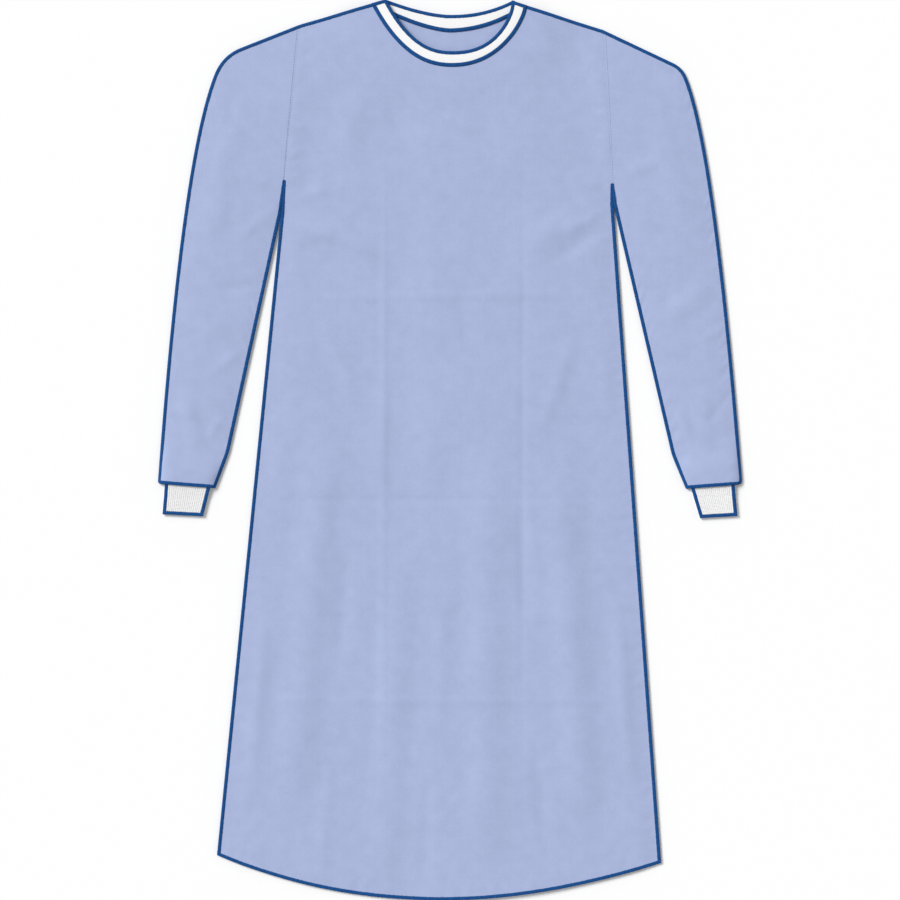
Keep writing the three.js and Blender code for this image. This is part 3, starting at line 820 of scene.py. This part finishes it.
def lay_chain(name, points):
    """A thread along a row of points, alternately thicker and thinner like a chain stitch."""
    line = Line(points)
    share = np.linspace(0.0, 1.0, int(line.length / (STRAND_PITCH / 2)) + 1)
    along = line.direction(share)
    across = unit(np.cross(along, UP))
    rise = np.cross(across, along)
    angle = np.arange(CHAIN_SIDES) * 2 * np.pi / CHAIN_SIDES
    radius = CHAIN_THICK / 2 * np.where(np.arange(len(share)) % 2, 1.0, CHAIN_THIN)
    ring = across[:, None] * np.cos(angle)[None, :, None] + rise[:, None] * np.sin(angle)[None, :, None]
    rings = line.at(share)[:, None] + ring * radius[:, None, None]
    run = share * line.length
    tubes(name, rings[None], run[None], np.array([0.5]), SEAM_THREAD)


def cloth_surface(grid):
    """The upper face of a panel, for threads to lie on."""
    corner = np.arange(grid.shape[0] * grid.shape[1]).reshape(grid.shape[:2])
    quads = np.stack([corner[:-1, :-1], corner[:-1, 1:], corner[1:, 1:], corner[1:, :-1]], axis=-1)
    return BVHTree.FromPolygons(grid.reshape(-1, 3).tolist(), quads.reshape(-1, 4).tolist())


def raise_onto(points, cloth, lift):
    """Raises the points that lie lower than lift above the cloth."""
    for point in points:
        below = cloth.ray_cast(Vector((point[0], point[1], ABOVE)), DOWN)[0]
        if below is not None:
            point[2] = max(point[2], below.z + lift)


def overlock(name, edge, inner, drop, band=BAND, turned_under=False, length=None, cloth=None):
    """Strands laid over an edge of cloth: edge is its outer line and inner a line a little way in."""
    edge, inner = np.asarray(edge), np.asarray(inner)
    outer_line = Line(edge)
    length = length or outer_line.length
    count = int(length / STRAND_PITCH)
    share = (np.arange(count) + 0.5) / count * length / outer_line.length
    place = outer_line.at(share)
    along = outer_line.direction(share)
    way_in = np.stack([np.interp(share, outer_line.shares, k) for k in (inner - edge).T], axis=-1)
    inward = unit(way_in - along * (way_in * along).sum(-1, keepdims=True))
    if np.ndim(band):
        band = np.interp(share * outer_line.length / length, np.linspace(0, 1, len(band)), band)
    reach = band + RANDOM.uniform(*REACH_SPREAD, count)
    slide = along * (STRAND_SLANT + RANDOM.uniform(*SLANT_SPREAD, count))[:, None]
    drop = np.interp(share, outer_line.shares, drop) if np.ndim(drop) else np.full(count, drop)
    paths = []
    for part, further, rise, fall, slant in STRAND_PATH + ((TURNED_UNDER,) if turned_under else ()):
        across = inward * (part * reach + further)[:, None]
        paths.append(place + across + UP * (rise - fall * drop)[:, None] + slide * slant)
    paths = np.stack(paths, axis=1)
    chain = place + inward * (reach - CHAIN_INSET)[:, None] + UP * CHAIN_RISE
    if cloth:
        for k in range(ON_CLOTH):
            raise_onto(paths[:, k], cloth, STRAND_PATH[k][2])
        raise_onto(chain, cloth, CHAIN_RISE)
    lay_strands(name, paths, along)
    lay_chain(f"{name}_chain", chain)


def tape_stitches(name, edge, first, last, width_at, base):
    """Strands laid across the outer edge of a neck tape."""
    even = np.linspace(first, last, TAPE_STATIONS)
    line = Line(neck_point(edge, even, width_at(even)))
    count = int(line.length / STRAND_PITCH)
    share = np.interp((np.arange(count) + 0.5) / count, line.shares, even)
    width = width_at(share)
    along = with_height(line.direction((np.arange(count) + 0.5) / count), 0.0)
    slides = np.linspace(-0.5, 0.5, len(TAPE_STITCH)) * STRAND_SLANT
    paths = []
    for (out, up), slide in zip(TAPE_STITCH, slides):
        reach = width + out + RANDOM.uniform(*TAPE_REACH_SPREAD, count)
        paths.append(with_height(neck_point(edge, share, reach), base + up) + along * slide)
    lay_strands(name, np.stack(paths, axis=1), along)
    for end, (out, up) in (("inner", TAPE_STITCH[1]), ("outer", TAPE_STITCH[-1])):
        line = with_height(neck_point(edge, share, width + out), base + up + TAPE_CHAIN_RISE)
        lay_chain(f"{name}_{end}_chain", line)


# Materials

def add_node(tree, kind, inputs=None, **settings):
    node = tree.nodes.new(f"ShaderNode{kind}")
    for key, value in settings.items():
        setattr(node, key, value)
    for key, value in (inputs or {}).items():
        if isinstance(value, bpy.types.NodeSocket):
            tree.links.new(value, node.inputs[key])
        else:
            node.inputs[key].default_value = value
    return node


def calculate(tree, operation, *values):
    return add_node(tree, "Math", dict(enumerate(values)), operation=operation).outputs["Value"]


def ramp(tree, value, low, high, **settings):
    """The value spread out so that low becomes 0 and high becomes 1."""
    ends = {"Value": value, "From Min": low, "From Max": high}
    return add_node(tree, "MapRange", ends, **settings).outputs["Result"]


def new_group(name, inputs, output):
    group = bpy.data.node_groups.new(name, "ShaderNodeTree")
    for way, labels in (("INPUT", inputs), ("OUTPUT", (output,))):
        for label in labels:
            kind = label if label in ("Vector", "Color") else "Float"
            group.interface.new_socket(label, in_out=way, socket_type=f"NodeSocket{kind}")
    given, end = group.nodes.new("NodeGroupInput"), group.nodes.new("NodeGroupOutput")
    return group, given.outputs, end.inputs[output]


def clouds_group():
    """Slow changes of tone, from more or fewer fibres."""
    group, given, end = new_group("fibre_clouds", ("Vector", "Scale"), "Mask")
    noise = add_node(
        group, "TexNoise",
        {"Vector": given["Vector"], "Scale": given["Scale"], "Detail": 5.0, "Roughness": 0.6},
    )
    group.links.new(ramp(group, noise.outputs["Fac"], 0.3, 0.7), end)
    return group


def fibres_group():
    """Fine fibres that cross each other."""
    group, given, end = new_group("fine_fibres", ("Vector", "Scale"), "Mask")
    layers = []
    for turn, stretch in ((0.5, 0.12), (-0.7, 0.16)):
        turned = add_node(
            group, "Mapping",
            {"Vector": given["Vector"], "Rotation": (0.0, 0.0, turn), "Scale": (1.0, stretch, 1.0)},
        )
        noise = add_node(
            group, "TexNoise",
            {"Vector": turned.outputs["Vector"], "Scale": given["Scale"], "Detail": 3.0, "Distortion": 0.4},
        )
        layers.append(noise.outputs["Fac"])
    group.links.new(ramp(group, calculate(group, "MAXIMUM", *layers), 0.4, 0.75), end)
    return group


def tint_group():
    """A colour made darker or lighter by a mask."""
    group, given, end = new_group("tint_by_mask", ("Color", "Mask", "Dark", "Light"), "Color")
    ends = {"Value": given["Mask"], "To Min": given["Dark"], "To Max": given["Light"]}
    factor = add_node(group, "MapRange", ends).outputs["Result"]
    tinted = add_node(group, "VectorMath", {0: given["Color"], "Scale": factor}, operation="SCALE")
    group.links.new(tinted.outputs["Vector"], end)
    return group


CLOUDS, FIBRES, TINT = clouds_group(), fibres_group(), tint_group()


class Surface:
    """A material of one colour. Masks tint it one after the other, and heights raise it."""

    def __init__(self, name, colour, roughness, sheen):
        self.material = bpy.data.materials.new(name)
        self.material.use_nodes = True
        self.tree = self.material.node_tree
        self.tree.nodes.clear()
        self.colour = add_node(self.tree, "RGB").outputs["Color"]
        self.colour.default_value = (*colour, 1.0)
        self.normal = None
        self.shader = add_node(
            self.tree, "BsdfPrincipled",
            {
                "Base Color": self.colour,
                "Roughness": roughness,
                "Sheen Weight": sheen,
                "Sheen Roughness": 0.5,
                "Specular IOR Level": 0.2,
            },
        )
        add_node(self.tree, "OutputMaterial", {"Surface": self.shader.outputs["BSDF"]})
        self.place = add_node(self.tree, "TexCoord").outputs["Object"]

    def use(self, group, inputs):
        return add_node(self.tree, "Group", inputs, node_tree=group).outputs[0]

    def mask(self, group, scale):
        return self.use(group, {"Vector": self.place, "Scale": scale})

    def tint(self, mask, dark, light):
        self.colour = self.use(TINT, {"Color": self.colour, "Mask": mask, "Dark": dark, "Light": light})
        self.tree.links.new(self.colour, self.shader.inputs["Base Color"])

    def bump(self, height, strength, distance):
        node = add_node(self.tree, "Bump", {"Height": height, "Strength": strength, "Distance": distance})
        if self.normal:
            self.tree.links.new(self.normal, node.inputs["Normal"])
        self.normal = node.outputs["Normal"]
        self.tree.links.new(self.normal, self.shader.inputs["Normal"])


def cloth_material():
    """Bonded nonwoven: fibre clouds, fine fibres and a diamond lattice of pressed bond points."""
    cloth = Surface("gown_cloth", CLOTH_COLOUR, 0.82, 0.12)
    fibres = cloth.mask(FIBRES, 1500.0)
    turned = add_node(cloth.tree, "Mapping", {"Vector": cloth.place, "Rotation": (0.0, 0.0, math.pi / 4)})
    cells = add_node(
        cloth.tree, "TexVoronoi",
        {"Vector": turned.outputs["Vector"], "Scale": 420.0, "Randomness": 0.0},
        voronoi_dimensions="2D",
    )
    bonds = ramp(cloth.tree, cells.outputs["Distance"], 0.20, 0.34, interpolation_type="SMOOTHSTEP")
    cloth.tint(cloth.mask(CLOUDS, 55.0), 0.965, 1.035)
    cloth.tint(fibres, 0.975, 1.025)
    cloth.tint(bonds, 0.95, 1.01)
    cloth.bump(bonds, 0.35, 0.00025)
    cloth.bump(fibres, 0.25, 0.00015)
    return cloth.material


def knit_material():
    """White rib knit: soft, with loose fibres."""
    knit = Surface("cuff_knit", KNIT_COLOUR, 0.9, 0.2)
    fibres = knit.mask(FIBRES, 2600.0)
    knit.tint(fibres, 0.95, 1.0)
    knit.bump(fibres, 0.3, 0.0002)
    return knit.material


def tape_material():
    """White woven tape: a fine plain weave."""
    tape = Surface("binding_tape", TAPE_COLOUR, 0.8, 0.1)
    threads = [
        add_node(
            tape.tree, "TexWave",
            {"Vector": tape.place, "Scale": 260.0, "Distortion": 0.6, "Detail": 1.0},
            wave_type="BANDS", bands_direction=direction,
        ).outputs["Fac"]
        for direction in ("X", "Y")
    ]
    weave = calculate(tape.tree, "MULTIPLY", *threads)
    tape.tint(tape.mask(CLOUDS, 120.0), 0.97, 1.0)
    tape.tint(weave, 0.96, 1.0)
    tape.bump(weave, 0.3, 0.0002)
    tape.bump(tape.mask(FIBRES, 2200.0), 0.15, 0.0001)
    return tape.material


def thread_material(name, colour):
    """Twisted thread: strands that differ slightly in tone, with plies that wind round them, and painted
    shade and highlight along the plies.
    """
    thread = Surface(name, colour, 0.72, 0.08)
    fibres = thread.mask(FIBRES, 3200.0)
    tone = add_node(thread.tree, "Attribute", attribute_name="tone").outputs["Fac"]
    twist = add_node(thread.tree, "Attribute", attribute_name="twist").outputs["Fac"]
    wave = calculate(thread.tree, "SINE", calculate(thread.tree, "MULTIPLY", twist, 2 * math.pi))
    ply_height_and_painted_shade = ramp(thread.tree, wave, -1.0, 1.0)
    thread.tint(tone, 0.85, 1.15)
    thread.tint(fibres, 0.88, 1.1)
    # Painted shade and highlight along the plies: darker in their grooves and lighter on their crests, as
    # well as the bump below that raises them
    thread.tint(ply_height_and_painted_shade, 0.80, 1.12)
    thread.bump(ply_height_and_painted_shade, 0.5, 0.0001)
    thread.bump(fibres, 0.3, 0.0001)
    return thread.material


GOWN_CLOTH = cloth_material()
CUFF_KNIT = knit_material()
BINDING_TAPE = tape_material()
SEAM_THREAD = thread_material("seam_thread", THREAD_COLOUR)
CLOTH_THREAD = thread_material("cloth_thread", CLOTH_COLOUR)


# Body and sleeves

front_plan = patch(HEM.at, front_top, body_side(LEFT), body_side(RIGHT))
front_grid = panel(
    "front", front_plan, front_height, *FRONT_CELLS, ["back_left_cloth", "back_right_cloth"]
)
back_left_grid = panel("back_left", back_left_plan(), back_left_height, *BACK_CELLS, ["floor"])
back_right_grid = panel(
    "back_right", back_right_plan(), back_right_height, *BACK_CELLS, ["floor", "back_left_cloth"]
)
sleeve_grids = {}
for side in SIDES:
    name = side["name"]
    back_name, front_name = f"sleeve_{name}_back", f"sleeve_{name}_front"
    panel(back_name, sleeve_plan(side), flat_height, *SLEEVE_BACK_CELLS, ["floor"])
    sleeve_grids[name] = panel(
        front_name, sleeve_plan(side), sleeve_front_height(side), *SLEEVE_CELLS, [f"{back_name}_cloth"]
    )


# Neck binding: a tape folded over the raw edge, with its two edges flat on the cloth

def front_binding_width(share):
    dip = np.where(share < 0.5, LEFT["front_binding_dip"], RIGHT["front_binding_dip"])
    return BINDING_WIDTH - dip * np.sin(2.0 * np.pi * share) ** 2


def back_binding_width(share):
    on_left = share < BACK_MIDDLE
    to_shoulder = np.where(on_left, 1.0 - share / BACK_MIDDLE, (share - BACK_MIDDLE) / (1.0 - BACK_MIDDLE))
    end = np.where(on_left, LEFT["back_binding_end"], RIGHT["back_binding_end"])
    return mix(BACK_BINDING_WIDTH, end, np.maximum(to_shoulder, 0.0) ** BACK_BINDING_POWER)


def binding(node, edge, first, last, width_at, base, rests_on):
    section = Line(rounded(TAPE_SECTION, SECTION_ROUNDS) + np.array([0.0, base]))
    even = np.linspace(first, last, TAPE_STATIONS)
    length = Line(neck_point(edge, even, width_at(even) / 2)).length

    def place(u, v):
        from_fold, height = section.at(u).T
        share = mix(first, last, v)
        run = share * edge.length
        beyond = np.maximum(from_fold - FOLD_DEPTH, 0.0) / (BINDING_WIDTH - FOLD_DEPTH)
        out = np.minimum(from_fold, FOLD_DEPTH) + beyond * (width_at(share) - FOLD_DEPTH)
        on_top = smooth(height - base, 0.5 * BINDING_HEIGHT, 0.75 * BINDING_HEIGHT)
        ripple = sum(size * np.sin(run / wave + phase) for size, wave, phase in TAPE_WAVES)
        dip = TAPE_RIPPLE * np.abs(ripple) * on_top * smooth(from_fold, FOLD_DEPTH, BINDING_WIDTH)
        return np.column_stack([neck_point(edge, share, out), height - dip])

    mesh, _ = mapped_grid(TAPE_CELLS, int(length / TAPE_CELL), place)
    turn_faces(mesh, upper_up_lower_down)
    width = section.length + 2 * float(width_at(even).mean() - BINDING_WIDTH)
    sheet_piece(node, "tape", mesh, BINDING_TAPE, TAPE_SHEET)


TAPES = {
    "front": (FRONT_NECK_EDGE, 0.0, 1.0, front_binding_width, FRONT_BINDING_BASE),
    "back_left": (BACK_NECK_EDGE, 0.0, BACK_MIDDLE - HALF_GAP, back_binding_width, 0.0),
    "back_right": (BACK_NECK_EDGE, BACK_MIDDLE + HALF_GAP, 1.0, back_binding_width, 0.0),
}
for name, tape in TAPES.items():
    binding(f"neck_binding_{name}", *tape, [f"{name}_cloth"])


# Cuffs: flattened tubes of rib knit

def cuff_ends(side):
    ends = [np.array(side["cuff_top"]), np.array(side["cuff_end"])]
    return [pair[np.argsort(pair[:, 0])] for pair in ends]


def cuff(side):
    """A tube that goes over its upper face, round its right edge, under and round its left edge."""
    top, end = cuff_ends(side)
    length = float(np.linalg.norm(end.mean(0) - top.mean(0)))
    down = (end.mean(0) - top.mean(0)) / length
    radius = CUFF_THICK / 2
    turn = np.pi * radius
    seam = BAND - radius
    shares = (0.0, SHOWN_RIBS[0] / CUFF_RIBS, SHOWN_RIBS[1] / CUFF_RIBS, 1.0)

    def place(u, v):
        along = mix(-CUFF_TUCK, length, v)
        edges = [between(top[k], end[k], np.maximum(along / length, 0.0)) for k in (0, 1)]
        middle = (edges[0] + edges[1]) / 2 + down * np.minimum(along, 0.0)[:, None]
        across = unit(edges[1] - edges[0])
        flat = np.linalg.norm(edges[1] - edges[0], axis=-1) - 2 * radius
        knots = (0.0, seam, flat - seam, 2 * (flat + turn))
        around = np.mod(u, 1.0)
        spans = list(zip(shares, shares[1:], knots, knots[1:]))
        run = np.select(
            [around < last for _, last, _, _ in spans],
            [mix(a, b, (around - first) / (last - first)) for first, last, a, b in spans],
        )
        right = np.clip((run - flat) / turn, 0.0, 1.0) * np.pi
        left = np.clip((run - 2 * flat - turn) / turn, 0.0, 1.0) * np.pi
        x = np.clip(run, 0.0, flat) - np.clip(run - flat - turn, 0.0, flat) - flat / 2
        x += radius * (np.sin(right) - np.sin(left))
        upward = np.where(run < 2 * flat + turn, np.cos(right), -np.cos(left))
        under = (run >= flat + turn) & (run < 2 * flat + turn)
        rib = RIB_RISE * (0.5 - 0.5 * np.cos(2 * np.pi * CUFF_RIBS * u)) ** RIB_POWER
        base = np.interp(along, CUFF_FALL, (LAYER, 0.0)) + radius
        height = base + upward * (radius + np.where(under, 0.0, rib))
        return np.column_stack([middle + across * x[:, None], height])

    mesh, grid = mapped_grid(CUFF_RIBS * RIB_CELLS, CUFF_ROWS, place, closed=True)
    turn_faces(mesh, upper_up_lower_down)
    name = side["name"]
    sheet_piece(f"cuff_{name}", "knit", mesh, CUFF_KNIT, CUFF_SHEET)
    return grid


def cuff_wales(side, grid):
    """Knit stitches along the ribs of a cuff's upper face: two legs to a stitch, that make a V."""
    legs, widths = [], []
    for rib in range(*SHOWN_RIBS):
        line = Line(grid[:, RIB_CELLS * rib + RIB_CELLS // 2])
        course = np.arange(line.length - BAND, CUFF_TUCK - COURSE, -COURSE)
        along = line.direction(course / line.length)
        across = unit(np.cross(along, UP))
        tip = line.at(course / line.length)
        for way in (-1.0, 1.0):
            path = [tip + across * way * out + along * back + UP * up for out, back, up in STITCH_LEG]
            legs.append(np.stack(path, axis=1))
            widths.append(unit(across + way * LEG_LEAN * along) * LEG_WIDTH / 2)
    paths, widths = np.concatenate(legs), np.concatenate(widths)
    strands(f"cuff_{side['name']}_wales", paths, widths, LEG_THICK, CUFF_KNIT, LEG_SIDES)


cuff_grids = {}
for side in SIDES:
    cuff_grids[side["name"]] = cuff(side)
    cuff_wales(side, cuff_grids[side["name"]])


# Overlocked edges

def tapered(length, run):
    """Band widths along a seam that narrow over its last part, as long as run."""
    share = np.linspace(0.0, 1.0, BAND_STATIONS)
    return BAND * np.interp(share, (0.0, 1.0 - run / length, 1.0), (1.0, 1.0, SEAM_END))


def armhole_stitches(name, edge, inner, run):
    """A row of stitches in the cloth's colour on the sleeve, beside the armhole seam."""
    line = Line(edge + unit(inner - edge) * ARMHOLE_INSET)
    count = int((line.length - run) / ARMHOLE_STITCH["pitch"]) - 1
    start = run + (np.arange(count) + 1.0) * ARMHOLE_STITCH["pitch"]
    steps = np.linspace(0.0, ARMHOLE_STITCH["length"], len(ARMHOLE_ARCH))
    paths = line.at((start[:, None] + steps) / line.length)
    paths[..., 2] += np.array(ARMHOLE_ARCH)
    along = line.direction(start / line.length)
    across = unit(np.cross(along, UP)) * ARMHOLE_STITCH["width"] / 2
    strands(name, paths, across, ARMHOLE_STITCH["width"], CLOTH_THREAD)


def cuff_side(side, end):
    """A side of a cuff from the sleeve to its end, and a line further in, on its upper face."""
    top, low = cuff_ends(side)
    length = np.linalg.norm(low.mean(0) - top.mean(0))
    along = np.linspace(-CUFF_SEAM_TUCK, length, SIDE_STATIONS)
    share = along / length
    height = np.interp(along, CUFF_FALL, (LAYER, 0.0)) + CUFF_SEAM_LEVEL
    edge = np.column_stack([between(top[end], low[end], share), height])
    middle = np.column_stack([between(top.mean(0), low.mean(0), share), height])
    return edge, edge + INNER_SHARE * (middle - edge)


STACK = LAYER + CLOTH
under_row = round(UNDERARM_SHARE * FRONT_CELLS[1])
neck_columns = [round(share * FRONT_CELLS[0]) for share in NECK_SHARES]
front_face = cloth_surface(front_grid)
for side, column, inside in ((LEFT, 0, 1), (RIGHT, -1, -2)):
    name, run = side["name"], side["seam_run"]
    grid = sleeve_grids[name]
    sleeve_face = cloth_surface(grid)
    edge, inner = front_grid[:, column], front_grid[:, inside]
    length = Line(edge[:under_row + 1]).length + run
    band = tapered(length, run)
    overlock(f"side_seam_{name}", edge, inner, STACK, band, length=length, cloth=front_face)
    edge = np.concatenate([grid[::-1, 0], grid[0, 1:]])
    inner = np.concatenate([grid[::-1, 1], grid[1, 1:]])
    length = Line(grid[:, 0]).length + run
    band = tapered(length, run)
    overlock(f"underarm_seam_{name}", edge, inner, STACK, band, length=length, cloth=sleeve_face)
    armhole_stitches(f"armhole_stitches_{name}", grid[0], grid[1], run)
    behind = np.maximum(np.arange(len(grid)) - 3, 0)
    overlock(f"overarm_seam_{name}", grid[:, -1], grid[behind, -3], STACK, cloth=sleeve_face)
    overlock(f"sleeve_end_{name}", grid[-1], grid[-4], SHEET, turned_under=True, cloth=sleeve_face)
    columns = slice(0, neck_columns[0] + 1) if side is LEFT else slice(neck_columns[1], None)
    edge = front_grid[-1, columns]
    seam = shoulder_direction(side)
    into = np.array([-seam[1], seam[0], 0.0]) * (1.0 if side is LEFT else -1.0)
    overlock(f"shoulder_seam_{name}", edge, edge + INNER_STEP * into, edge[:, 2], cloth=front_face)
    for end in (0, 1):
        overlock(f"cuff_side_{name}_{end}", *cuff_side(side, end), CUFF_THICK)
    upper = cuff_grids[name][:, :CUFF_RIBS * RIB_CELLS // 2, :2]
    lines = [with_height(upper[row], CUFF_SEAM_LEVEL) for row in (-1, -3)]
    overlock(f"cuff_end_{name}", *lines, CUFF_THICK)
overlock("hem_front", front_grid[0], front_grid[1], SHEET, turned_under=True, cloth=front_face)
overlock("hem_back_left", back_left_grid[0], back_left_grid[1], SHEET)
overlock("hem_back_right", back_right_grid[0], back_right_grid[1], SHEET)

for name, (edge, first, last, width_at, base) in TAPES.items():
    tape_stitches(f"neck_edge_{name}", edge, first, last, width_at, base)
    share = mix(first, last, np.linspace(0.0, 1.0, FOLD_STATIONS))
    top = base + BINDING_HEIGHT
    fold = [with_height(neck_point(edge, share, np.full(share.shape, out)), top) for out in (0.0, INNER_STEP)]
    overlock(f"neck_fold_{name}", *fold, BINDING_HEIGHT)
out = np.linspace(0.0, BINDING_WIDTH, SIDE_STATIONS)
top = FRONT_BINDING_BASE + BINDING_HEIGHT
for side, shares in ((LEFT, (0.0, END_STEP)), (RIGHT, (1.0, 1.0 - END_STEP))):
    lines = [with_height(neck_point(FRONT_NECK_EDGE, np.full(out.shape, at), out), top) for at in shares]
    overlock(f"neck_end_{side['name']}", *lines, top)


# Stage: floor, light and camera

floor_form = bmesh.new()
bmesh.ops.create_grid(floor_form, x_segments=1, y_segments=1, size=FLOOR_SIZE)
bmesh.ops.translate(floor_form, verts=floor_form.verts, vec=(0.0, 0.0, FLOOR_LEVEL))
floor_mesh = bpy.data.meshes.new("floor")
floor_form.to_mesh(floor_mesh)
floor_form.free()
floor = new_object("floor", floor_mesh)
floor_mesh.materials.append(Surface("floor", FLOOR_COLOUR, 0.9, 0.0).material)

world = bpy.data.worlds.new("room")
bpy.context.scene.world = world
world.use_nodes = True
room = world.node_tree.nodes["Background"].inputs
room["Color"].default_value = ROOM_COLOUR
room["Strength"].default_value = ROOM_LIGHT

key_light = bpy.data.lights.new("key", "SUN")
key_light.energy = KEY_ENERGY
key_light.angle = KEY_ANGLE
key = new_object("key", key_light)
key.rotation_euler = Vector(KEY_DIRECTION).to_track_quat("-Z", "Y").to_euler()

camera_data = bpy.data.cameras.new("camera")
camera_data.sensor_width = SENSOR * 1000
camera_data.lens = LENS * 1000
camera_data.clip_end = 100.0
camera = new_object("camera", camera_data)
camera.location = (0.0, 0.0, CLOTH_LEVEL + VIEW_WIDTH * LENS / SENSOR)
bpy.context.scene.camera = camera
bpy.context.scene.view_settings.view_transform = "Standard"
